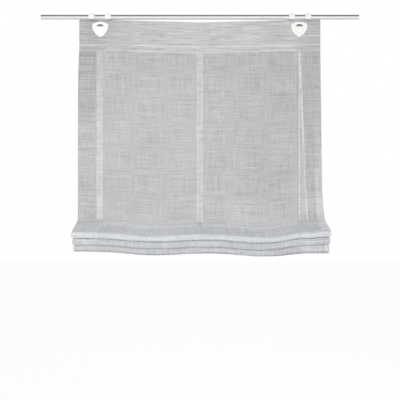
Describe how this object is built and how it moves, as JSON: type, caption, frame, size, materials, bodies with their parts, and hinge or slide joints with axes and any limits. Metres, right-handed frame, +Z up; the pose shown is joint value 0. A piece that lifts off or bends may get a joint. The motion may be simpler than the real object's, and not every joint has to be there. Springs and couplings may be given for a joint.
{
  "type": "sheer roman blind",
  "caption": "Half see-through cloth blind that hangs from a slim rod on clip-on hooks through eyelets, with ringed tapes and draw cords on its back that hold its foot up in soft folds.",
  "frame": {"origin": "middle of the rod's axis, halfway along the rod", "axes": "+X along the rod to the right as seen from the room, -Y out of the blind's front into the room, +Z up"},
  "size_m": [1.05, 0.0952, 0.7989],
  "materials": {
    "steel": "satin",
    "white_plastic": "satin",
    "sheer_linen": "open slub weave",
    "tape": "woven",
    "ring_plastic": "gloss",
    "cord": "braided"
  },
  "bodies": {
    "rod": {"rod": "steel"},
    "blind": {"hook_left": "white_plastic", "hook_right": "white_plastic", "eyelet_front_left": "white_plastic", "eyelet_front_right": "white_plastic", "eyelet_back_left": "white_plastic", "eyelet_back_right": "white_plastic", "cloth": "sheer_linen", "tape_left": "tape", "tape_centre": "tape", "tape_right": "tape", "rings_left": "ring_plastic", "rings_centre": "ring_plastic", "rings_right": "ring_plastic", "draw_cord_left": "cord", "draw_cord_centre": "cord", "draw_cord_right": "cord"}
  },
  "joints": [
    {"name": "blind_slide", "type": "slide", "parent": "rod", "child": "blind", "axis": [1, 0, 0], "range_m": [-0.12, 0.12]}
  ]
}
